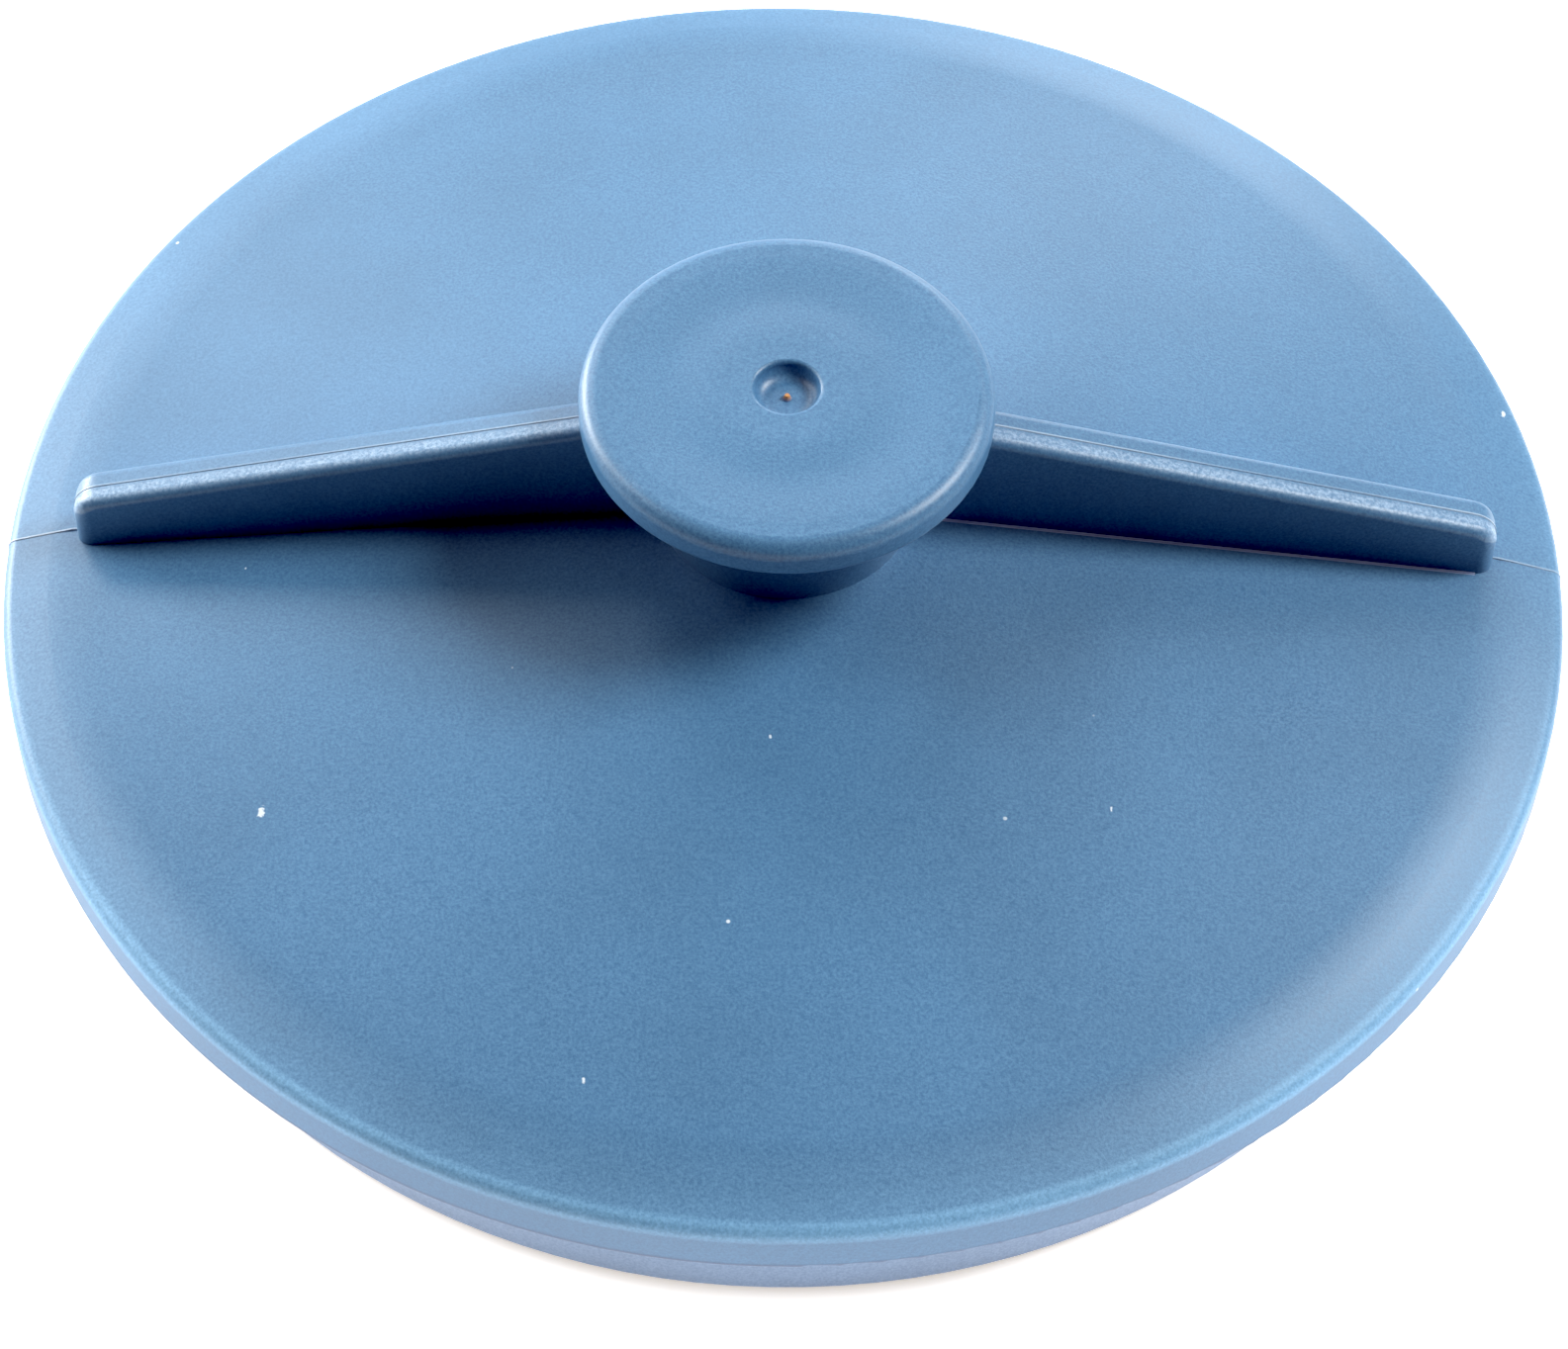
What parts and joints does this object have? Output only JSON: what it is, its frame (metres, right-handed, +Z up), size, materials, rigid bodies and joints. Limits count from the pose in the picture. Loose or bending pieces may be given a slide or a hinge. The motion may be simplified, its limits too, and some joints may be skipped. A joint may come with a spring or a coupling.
{
  "type": "chalkboard eraser",
  "caption": "Round board eraser with a shallow conical handle cover, central pull knob and radial grip ribs over a banded felt-strip wiping pad.",
  "frame": {"origin": "on the wiping face, at the eraser's axis", "axes": "+Z up from the wiping face through the knob; the two grip ribs lie along X"},
  "size_m": [0.086, 0.086, 0.0262],
  "materials": {
    "cover_plastic": "fine spark-eroded grain",
    "ring_plastic": "smooth satin",
    "plate_plastic": "smooth satin",
    "screw_steel": "zinc plated",
    "hook_tape": "hook tape",
    "loop_fabric": "brushed loop fabric",
    "backing_board": "pressed fibreboard",
    "felt": "dense wool felt",
    "thread": "twisted cotton"
  },
  "bodies": {
    "pad": {"carrier_ring": "ring_plastic", "backing_disc": "backing_board", "loop_disc": "loop_fabric", "felt_base": "felt", "stitching": "thread", "felt_strip_01": "felt", "felt_strip_02": "felt", "felt_strip_03": "felt", "felt_strip_04": "felt", "felt_strip_05": "felt", "felt_strip_06": "felt", "felt_strip_07": "felt", "felt_strip_08": "felt", "felt_strip_09": "felt", "felt_strip_10": "felt", "felt_strip_11": "felt", "felt_strip_12": "felt"},
    "handle": {"handle_cover": "cover_plastic", "mounting_plate": "plate_plastic", "plate_screws": "screw_steel", "hook_disc": "hook_tape"}
  },
  "joints": [
    {"name": "pad_release", "type": "slide", "parent": "pad", "child": "handle", "axis": [0, 0, 1], "range_m": [0, 0.03]}
  ]
}
